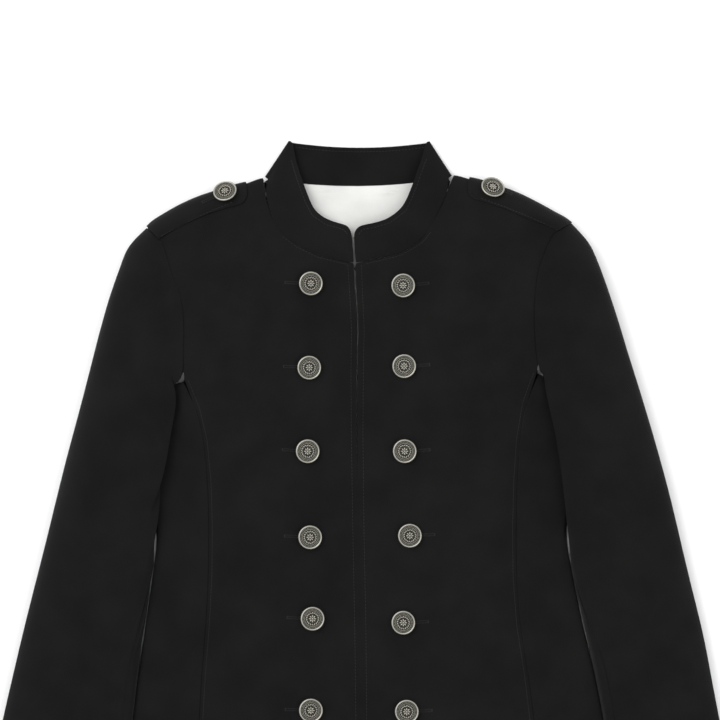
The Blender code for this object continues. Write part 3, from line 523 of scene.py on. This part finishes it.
def hold_form(piece: bpy.types.Object) -> None:
    """Move the cage, within its limit, to bring the rounded cloth to the solid's corners."""
    vertices = piece.data.vertices
    wanted = np.array([vertex.co[:] for vertex in vertices])
    for _ in range(CAGE_ROUNDS):
        bpy.context.view_layer.update()
        shown = piece.evaluated_get(bpy.context.evaluated_depsgraph_get()).data.vertices
        for index, vertex in enumerate(vertices):
            pull = vertex.co - shown[index].co
            if pull.length > CAGE_LIMIT * MM:
                pull *= CAGE_LIMIT * MM / pull.length
            vertex.co = Vector(wanted[index]) + pull
        piece.data.update()


def select_only(piece: bpy.types.Object) -> None:
    """Leave only one object selected and active."""
    for other in bpy.context.scene.objects:
        other.select_set(False)
    piece.select_set(True)
    bpy.context.view_layer.objects.active = piece


def settle(piece: bpy.types.Object) -> None:
    """Apply an object's place, turn and size to its mesh."""
    select_only(piece)
    bpy.ops.object.transform_apply(location=True, rotation=True, scale=True)


class Surface:
    """The dressed cloth as seen from above, to lay thread on."""

    def __init__(self, cloths: list[bpy.types.Object]) -> None:
        """Gather the faces of every cloth object into one tree."""
        points, faces = [], []
        for cloth in cloths:
            first = len(points)
            points.extend(vertex.co.copy() for vertex in cloth.data.vertices)
            faces.extend([first + index for index in face.vertices]
                         for face in cloth.data.polygons)
        self.tree = BVHTree.FromPolygons(points, faces)

    def under(self, x: float, y: float, top: float = 80.0) -> tuple[Vector, Vector] | None:
        """Return the point and normal of the cloth under a place, looking down."""
        hit, normal, _, _ = self.tree.ray_cast(Vector((x, y, top)) * MM, Vector((0, 0, -1)))
        if hit is None:
            return None
        return hit, normal if normal.z > 0 else -normal


@dataclass
class ThreadStitch:
    """One stitch of sewing thread: a short rounded grain, modelled once and copied."""

    length: float = 2.3
    width: float = 0.62
    flatness: float = 0.8
    sides: int = 6
    rings: int = 4

    def mesh(self) -> tuple[list[Vector], list[tuple[int, ...]]]:
        """Return the grain's points and faces, lying along X."""
        bpy.ops.mesh.primitive_uv_sphere_add(segments=self.sides, ring_count=self.rings,
                                             radius=0.5)
        grain = bpy.context.active_object
        bpy.ops.object.mode_set(mode="EDIT")
        bpy.ops.mesh.select_all(action="SELECT")
        bpy.ops.transform.rotate(value=math.pi / 2, orient_axis="Y", center_override=(0, 0, 0))
        bpy.ops.transform.resize(value=(self.length, self.width, self.width * self.flatness))
        bpy.ops.object.mode_set(mode="OBJECT")
        points = [vertex.co.copy() for vertex in grain.data.vertices]
        faces = [tuple(face.vertices) for face in grain.data.polygons]
        bpy.data.objects.remove(grain)
        return points, faces


@dataclass
class Sewing:
    """Rows of thread laid on the cloth and joined to one piece."""

    name: str
    stitch: ThreadStitch
    surface: Surface
    lift: float = 0.06
    pitch: float = 3.1
    hole_pitch: float = 0.8
    hole_stitch: float = 0.62
    lip: float = 0.95
    bar_pitch: float = 0.55
    points: list[Vector] = field(default_factory=list)
    faces: list[tuple[int, ...]] = field(default_factory=list)

    def __post_init__(self) -> None:
        """Model the one stitch that every row repeats."""
        self.grain = self.stitch.mesh()

    def sew(self, x: float, y: float, along: Vector, size: float = 1.0) -> None:
        """Lay one stitch at a place, along a direction."""
        found = self.surface.under(x, y)
        if found is None:
            return
        place, normal = found
        ahead = Vector((along.x, along.y, 0.0))
        ahead = (ahead - normal * ahead.dot(normal)).normalized()
        turn = Matrix((ahead, normal.cross(ahead), normal)).transposed()
        first = len(self.points)
        for point in self.grain[0]:
            self.points.append(place + (turn @ (point * size) + normal * self.lift) * MM)
        self.faces.extend(tuple(first + index for index in face) for face in self.grain[1])

    def row(self, line: tuple[Point, ...]) -> None:
        """Sew a row of running stitches along a line."""
        for start, end in zip(line, line[1:]):
            step = Vector(end) - Vector(start)
            count = max(1, round(step.length / self.pitch))
            for number in range(count):
                place = Vector(start) + step * ((number + 0.5) / count)
                self.sew(place.x, place.y, step)

    def buttonhole(self, x: float, y: float, end_x: float, end_y: float) -> None:
        """Sew a buttonhole: close cross stitches on both lips and a bar at the far end."""
        slit = Vector((end_x - x, end_y - y))
        side = Vector((-slit.y, slit.x)).normalized()
        count = round(slit.length / self.hole_pitch)
        for number in range(count + 1):
            middle = Vector((x, y)) + slit * (number / count)
            for sign in (-1.0, 1.0):
                place = middle + side * (sign * self.lip)
                self.sew(place.x, place.y, side, self.hole_stitch)
        for number in range(-2, 3):
            place = Vector((end_x, end_y)) + side * (number * self.bar_pitch)
            self.sew(place.x, place.y, slit, self.hole_stitch)

    def finish(self, material: bpy.types.Material) -> bpy.types.Object:
        """Join the stitches to one object and dress it."""
        mesh = bpy.data.meshes.new(self.name)
        mesh.from_pydata([tuple(point) for point in self.points], [], self.faces)
        mesh.materials.append(material)
        piece = bpy.data.objects.new(self.name, mesh)
        bpy.context.scene.collection.objects.link(piece)
        select_only(piece)
        bpy.ops.object.shade_smooth()
        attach(piece, BODY)
        return piece


@dataclass
class ShankButton:
    """A cast button with a plain rim, a beaded ring, a leaf wreath and a rosette.

    A ring is given by its radius and height, and a grain by its half sizes. The patina is
    dark up to dark_at, and fully bright when bright_over higher.
    """

    outline: tuple[Point, ...] = (
        (0.0, 3.2), (6.9, 3.1), (7.3, 3.6), (7.7, 3.6), (8.0, 3.15), (9.5, 3.2), (9.9, 3.8),
        (10.5, 4.0), (11.0, 3.8), (11.4, 3.2), (11.1, 2.6), (10.2, 2.35), (3.2, 1.9),
        (2.6, 0.3), (2.0, 0.0), (0.0, 0.0),
    )
    sides: int = 48
    beads: int = 40
    bead_ring: Point = (8.75, 3.25)
    bead: Size = (0.5, 0.5, 0.62)
    leaves: int = 18
    leaf_ring: Point = (5.6, 3.4)
    leaf: Size = (1.45, 0.56, 0.95)
    leaf_lean: float = 0.75
    petals: int = 8
    petal_ring: Point = (2.4, 3.4)
    petal: Size = (1.5, 0.74, 1.05)
    middle_ring: Point = (0.0, 3.7)
    middle: Size = (1.0, 1.0, 1.05)
    grain_sides: int = 8
    grain_rings: int = 6
    smooth_below: float = 0.7
    dark_at: float = 3.1
    bright_over: float = 1.1

    def model(self) -> bpy.types.Mesh:
        """Return the button's mesh at the origin, facing up."""
        parts = [self.turned_body()]
        for number in range(self.beads):
            angle = math.tau * number / self.beads
            parts.append(self.grain(self.bead_ring, angle, self.bead))
        for number in range(self.leaves):
            angle = math.tau * (number + 0.5) / self.leaves
            lean = self.leaf_lean if math.cos(angle) > 0 else -self.leaf_lean
            parts.append(self.grain(self.leaf_ring, angle, self.leaf, math.pi / 2 + lean))
        for number in range(self.petals):
            angle = math.tau * number / self.petals
            parts.append(self.grain(self.petal_ring, angle, self.petal))
        parts.append(self.grain(self.middle_ring, 0.0, self.middle))
        select_only(parts[0])
        for part in parts:
            part.select_set(True)
        bpy.ops.object.join()
        whole = bpy.context.active_object
        bpy.ops.object.shade_smooth_by_angle(angle=self.smooth_below)
        mesh = whole.data.copy()
        bpy.data.objects.remove(whole)
        return mesh

    def turned_body(self) -> bpy.types.Object:
        """Spin the outline to the button's body."""
        line = [(radius, 0.0, height) for radius, height in self.outline]
        edges = [(index, index + 1) for index in range(len(line) - 1)]
        mesh = bpy.data.meshes.new("button_outline")
        mesh.from_pydata(line, edges, [])
        body = bpy.data.objects.new("button_body", mesh)
        bpy.context.scene.collection.objects.link(body)
        select_only(body)
        bpy.ops.object.mode_set(mode="EDIT")
        bpy.ops.mesh.select_all(action="SELECT")
        bpy.ops.mesh.spin(steps=self.sides, angle=math.tau, center=(0, 0, 0), axis=(0, 0, 1))
        bpy.ops.mesh.select_all(action="SELECT")
        bpy.ops.mesh.remove_doubles(threshold=0.001)
        bpy.ops.mesh.normals_make_consistent(inside=False)
        bpy.ops.object.mode_set(mode="OBJECT")
        return body

    def grain(self, ring: Point, angle: float, size: Size,
              turn: float = 0.0) -> bpy.types.Object:
        """Add one raised bead, leaf or petal, its long side turned from the radius."""
        reach, height = ring
        place = (reach * math.cos(angle), reach * math.sin(angle), height)
        bpy.ops.mesh.primitive_uv_sphere_add(
            segments=self.grain_sides, ring_count=self.grain_rings, radius=1.0,
            location=place, rotation=(0, 0, angle + turn))
        piece = bpy.context.active_object
        bpy.ops.object.mode_set(mode="EDIT")
        bpy.ops.mesh.select_all(action="SELECT")
        bpy.ops.transform.resize(value=size, orient_type="LOCAL", center_override=place)
        bpy.ops.object.mode_set(mode="OBJECT")
        settle(piece)
        return piece

    def place_all(self, frame: dict, material: bpy.types.Material) -> list[bpy.types.Object]:
        """Put a button with its own mesh in the place of every button node.

        Args:
            material: the metal, which reads the tone by height from "patina".

        Returns:
            The buttons, turned as their nodes are.
        """
        design = self.model()
        tones = [min(max((vertex.co.z - self.dark_at) / self.bright_over, 0.0), 1.0)
                 for vertex in design.vertices]
        layer = design.attributes.new("patina", "FLOAT", "POINT")
        layer.data.foreach_set("value", tones)
        design.materials.clear()
        design.materials.append(material)
        buttons = []
        for node, source in frame["nodes"].items():
            if "button" not in node:
                continue
            points = np.array([vertex.co[:] for vertex in source.data.vertices])
            middle = (points.max(axis=0) + points.min(axis=0)) / 2
            facing = Vector(np.linalg.svd(points - points.mean(axis=0))[2][2])
            facing = facing if facing.z > 0 else -facing
            turn = Vector((0, 0, 1)).rotation_difference(facing).to_matrix().to_4x4()
            rise = (points - middle) @ np.array(facing)
            foot = Vector(middle) + facing * float(rise.min())
            mesh = design.copy()
            mesh.transform(Matrix.Translation(foot) @ turn @ Matrix.Scale(MM, 4))
            button = bpy.data.objects.new(f"{node}_cast", mesh)
            bpy.context.scene.collection.objects.link(button)
            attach(button, BODY)
            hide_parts(node)
            buttons.append(button)
        return buttons


@dataclass(frozen=True)
class Softbox:
    """One square lamp that faces the jacket, its place and size in metres."""

    name: str
    place: Size
    size: float
    power: float

    def hang(self) -> None:
        """Put the lamp in the scene."""
        lamp = bpy.data.objects.new(self.name, bpy.data.lights.new(self.name, "AREA"))
        lamp.data.size = self.size
        lamp.data.energy = self.power
        lamp.location = self.place
        lamp.rotation_mode = "QUATERNION"
        lamp.rotation_quaternion = (-Vector(self.place)).to_track_quat("-Z", "Y")
        bpy.context.scene.collection.objects.link(lamp)


@dataclass
class Studio:
    """The camera straight above, the pale table and soft lights."""

    middle: Point = (2.4, 133.0)
    lens: float = 150.0
    height: float = 2865.0
    table_size: float = 12000.0
    table_drop: float = 0.5
    table_tone: float = 0.93
    table_roughness: float = 0.9
    table_gloss: float = 0.1
    sky: float = 0.85
    lamps: tuple[Softbox, ...] = (
        Softbox("key", (-1.3, 1.1, 2.0), 1.8, 42.0),
        Softbox("fill", (1.6, -0.6, 2.0), 2.2, 22.0),
    )

    def build(self) -> None:
        """Make the camera, the table, the lamps and the sky."""
        scene = bpy.context.scene
        camera = bpy.data.objects.new("Camera", bpy.data.cameras.new("Camera"))
        camera.data.lens = self.lens
        camera.location = (self.middle[0] * MM, self.middle[1] * MM, self.height * MM)
        scene.collection.objects.link(camera)
        scene.camera = camera
        self.lay_table()
        for lamp in self.lamps:
            lamp.hang()
        world = bpy.data.worlds.new("Soft Studio")
        world.use_nodes = True
        world.node_tree.nodes["Background"].inputs["Color"].default_value = (1, 1, 1, 1)
        world.node_tree.nodes["Background"].inputs["Strength"].default_value = self.sky
        scene.world = world
        scene.view_settings.view_transform = "Standard"

    def lay_table(self) -> None:
        """Lay the pale table under the jacket."""
        bpy.ops.mesh.primitive_plane_add(size=self.table_size * MM,
                                         location=(0, 0, -self.table_drop * MM))
        table = bpy.context.active_object
        table.name = "table"
        pale = bpy.data.materials.new("Pale Table")
        pale.use_nodes = True
        shader = pale.node_tree.nodes["Principled BSDF"]
        shader.inputs["Base Color"].default_value = (self.table_tone,) * 3 + (1,)
        shader.inputs["Roughness"].default_value = self.table_roughness
        shader.inputs["Specular IOR Level"].default_value = self.table_gloss
        table.data.materials.append(pale)


# The seams and edges that carry top stitches, as seen from above, the left ones under -1.
FRONT_EDGE = {
    -1: ((-1.5, -330), (-1.4, -225), (-2.6, -120), (-4.4, -30), (-5.8, 60), (-6.2, 125),
         (-5.6, 162), (-7.2, 193), (-9.2, 224)),
    1: ((9.6, -330), (9.0, -225), (8.0, -120), (6.2, -30), (5.2, 60), (5.6, 125),
        (6.4, 162), (5.0, 193), (3.6, 224)),
}
PRINCESS_SEAM = {
    -1: ((-155, -328), (-151.4, -280), (-148, -224), (-144.8, -169), (-140.8, -118),
         (-138.4, -71), (-138, -27), (-139.2, 17), (-143, 57), (-150, 87), (-161, 114)),
    1: ((173, -328), (169.6, -279), (165.6, -222), (159, -168), (151.4, -119), (148, -73),
        (147.5, -28), (148.5, 17), (151.3, 58), (157, 93), (167.5, 121)),
}
COLLAR_TOP = {
    -1: ((-9.4, 252), (-12.4, 256.2), (-18, 258.4), (-30, 261.4), (-43.2, 270.6),
         (-49.6, 283), (-54.4, 296), (-59.2, 310), (-63.2, 323.4)),
    1: ((1.2, 252), (4.6, 257.0), (15, 258.6), (31, 263.4), (45.8, 274.6), (51.8, 286.6),
        (56.2, 298), (60.8, 311), (65.8, 324.6)),
}
COLLAR_BACK = ((-60, 336.2), (-44, 334), (-22, 332.2), (2, 331.6), (26, 332.1), (48, 333.8),
               (64, 335.8))
COLLAR_SEAM = {
    -1: ((-10, 224), (-21, 226.4), (-39, 231), (-58.4, 240.8), (-71.6, 250.4)),
    1: ((8, 224.4), (19.6, 227), (41.4, 232.4), (60.4, 243.4), (69.8, 254.4)),
}
STRAP_EDGE = {
    -1: ((-118.6, 282.6), (-138, 274.6), (-158, 264.8), (-176, 255.4), (-186, 250)),
    1: ((117, 286.4), (138, 278.6), (160, 269.6), (178, 261.4), (190, 255.4)),
}
# Each buttonhole runs from beside its button, x and y, to its far end.
FRONT_BUTTONHOLES = (
    (-53.0, 205.9, -68.6, 206.6), (-54.5, 126.4, -70.2, 126.9), (-56.0, 46.8, -71.4, 48.0),
    (-53.6, -35.0, -69.4, -34.2), (-51.2, -112.4, -67.0, -111.8), (-52.8, -199.4, -68.6, -199),
    (52.0, 204.2, 67.6, 206.0), (53.0, 127.5, 68.6, 128.6), (53.6, 46.8, 69.0, 47.8),
    (58.2, -33.5, 73.4, -32.8), (52.0, -116.2, 67.4, -115.6), (55.4, -200.6, 70.8, -200),
)
STRAP_BUTTONHOLE = {-1: (-135.4, 288.0, -147.0, 282.6), 1: (133.6, 296.6, 146.4, 290.4)}


class SewnSection:
    """Sewn pieces that are built and dressed together."""

    def pieces(self) -> list[ClothPiece]:
        """Return the section's sewn pieces, in the order of their making."""
        raise NotImplementedError

    def make(self, frame: dict, finishes: dict[Finish, bpy.types.Material]) -> list[ClothPiece]:
        """Build and dress every piece of the section.

        Args:
            finishes: the jacket's materials.

        Returns:
            The pieces, each with its finished cloth object.
        """
        made = self.pieces()
        for cloth in made:
            piece = cloth.build(frame)
            cloth.dress(finishes)
            LOG.info("%s: %d faces", piece.name, len(piece.data.polygons))
        return made


@dataclass
class JacketBody(SewnSection):
    """The back, the fronts, the side panels and the lining in the neck.

    A cut is a piece's width, length and area, in metres.
    """

    hem_facing: float = -300.0
    back_cut: Size = (0.452, 0.636, 0.245)
    front_cuts: tuple[Size, Size] = ((0.206, 0.66, 0.0975), (0.206, 0.66, 0.102))
    front_reach: float = 0.45
    side_cuts: tuple[Size, Size] = ((0.11, 0.443, 0.0322), (0.11, 0.45, 0.0331))
    side_reach: float = 0.4
    lining_cut: Size = (0.16, 0.081, 0.0126)
    lining_rim: float = 0.3

    def pieces(self) -> list[ClothPiece]:
        """Return the body's sewn pieces."""
        back = ClothPiece("back", (), self.back_cut[:2], self.back_cut[2],
                          lined_from=self.hem_facing, is_flat=True, inside_up=True)
        fronts = [ClothPiece(f"front_{side}", BODY_CREASES, cut[:2], cut[2], ("back",),
                             lined_from=self.hem_facing, reach=self.front_reach)
                  for side, cut in zip(SIDES, self.front_cuts)]
        sides = [ClothPiece(f"side_{side}", BODY_CREASES, cut[:2], cut[2], ("back",),
                            lined_from=self.hem_facing, reach=self.side_reach, pressed=0.0)
                 for side, cut in zip(SIDES, self.side_cuts)]
        lining = ClothPiece("neck_lining", LINING_CREASES, self.lining_cut[:2],
                            self.lining_cut[2], ("back",), Finish.LINING, "white_lining",
                            levels=4, rim=self.lining_rim, pressed=0.0, waviness=0.5,
                            rises_from=1.0, is_flat=True)
        return [back, *fronts, *sides, lining]


@dataclass
class Sleeves(SewnSection):
    """The upper and under sleeves of both arms, each a tube of two pieces."""

    cuff_facing: float = -312.0
    # above this, the sleeve's inside is black cloth: painted shade, the lining shows only at
    # the cuff
    painted_shade_above: float = -250.0
    upper_cuts: tuple[Size, Size] = ((0.2, 0.61, 0.0756), (0.2, 0.62, 0.0742))
    under_cuts: tuple[Size, Size] = ((0.14, 0.6, 0.0499), (0.14, 0.6, 0.048))
    reach: float = 0.7
    pressed: float = -0.3

    def pieces(self) -> list[ClothPiece]:
        """Return the four sewn pieces, the upper sleeves first."""
        uppers = [self.sleeve(f"sleeve_upper_{side}", cut, (f"side_{side}", f"front_{side}"))
                  for side, cut in zip(SIDES, self.upper_cuts)]
        unders = [self.sleeve(f"sleeve_under_{side}", cut, (f"side_{side}",))
                  for side, cut in zip(SIDES, self.under_cuts)]
        return uppers + unders

    def sleeve(self, node: str, cut: Size, rests_on: tuple[str, ...]) -> ClothPiece:
        """Return one piece of a sleeve."""
        return ClothPiece(node, SLEEVE_CREASES, cut[:2], cut[2], rests_on,
                          lined_from=self.cuff_facing, painted_shade_above=self.painted_shade_above,
                          is_shade_painted_inside=False, reach=self.reach, pressed=self.pressed)


@dataclass
class CollarAndStraps(SewnSection):
    """The stand collar and the two buttoned straps on the shoulders."""

    collar_cut: Size = (0.44, 0.052, 0.0152)
    collar_reach: float = 0.5
    strap_cut: Size = (0.1, 0.034, 0.0031)

    def pieces(self) -> list[ClothPiece]:
        """Return the three sewn pieces."""
        collar = ClothPiece("collar", COLLAR_CREASES, self.collar_cut[:2], self.collar_cut[2],
                            ("back",), waviness=0.25, levels=3, reach=self.collar_reach)
        straps = [ClothPiece(f"strap_{side}", (), self.strap_cut[:2], self.strap_cut[2],
                             (f"front_{side}",), waviness=0.3, rises_from=0.0)
                  for side in SIDES]
        return [collar, *straps]


@dataclass
class NeckFastener:
    """The hook and eye at the foot of the collar, kept as modelled in bent wire."""

    nodes: tuple[str, ...] = ("hook", "eye")

    def dress(self, frame: dict, material: bpy.types.Material) -> None:
        """Give the wire its finish."""
        for node in self.nodes:
            frame["nodes"][node].data.materials.clear()
            frame["nodes"][node].data.materials.append(material)


def sew_all(surface: Surface, material: bpy.types.Material) -> dict[str, bpy.types.Object]:
    """Sew every row of thread, one piece for each part that carries it.

    Args:
        surface: the dressed cloth from above.
        material: the thread's finish.

    Returns:
        The thread pieces by the cloth node that carries them.
    """
    stitch = ThreadStitch()
    sewn = {}
    for sign, side in zip((-1, 1), SIDES):
        rows = Sewing(f"stitches_front_{side}", stitch, surface)
        for line in (FRONT_EDGE[sign], PRINCESS_SEAM[sign], COLLAR_SEAM[sign]):
            rows.row(line)
        for hole in FRONT_BUTTONHOLES:
            if hole[0] * sign > 0:
                rows.buttonhole(*hole)
        sewn[f"front_{side}"] = rows.finish(material)
        strap = Sewing(f"stitches_strap_{side}", stitch, surface)
        strap.row(STRAP_EDGE[sign])
        strap.buttonhole(*STRAP_BUTTONHOLE[sign])
        sewn[f"strap_{side}"] = strap.finish(material)
    collar = Sewing("stitches_collar", stitch, surface)
    for line in (COLLAR_TOP[-1], COLLAR_TOP[1], COLLAR_BACK):
        collar.row(line)
    sewn["collar"] = collar.finish(material)
    return sewn


def main() -> None:
    logging.basicConfig(level=logging.INFO, format="%(message)s")
    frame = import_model()
    Studio().build()
    finishes = make_finishes()
    cloths = []
    for section in (JacketBody(), Sleeves(), CollarAndStraps()):
        cloths.extend(section.make(frame, finishes))
    surface = Surface([cloth.piece for cloth in cloths])
    sewn = sew_all(surface, finishes[Finish.THREAD])
    for cloth in cloths:
        thread = sewn.get(cloth.node)
        cloth.declare((thread,) if thread else ())
    buttons = ShankButton().place_all(frame, finishes[Finish.PEWTER])
    LOG.info("%d buttons, %d faces each", len(buttons), len(buttons[0].data.polygons))
    NeckFastener().dress(frame, finishes[Finish.STEEL])


if __name__ == "__main__":
    main()
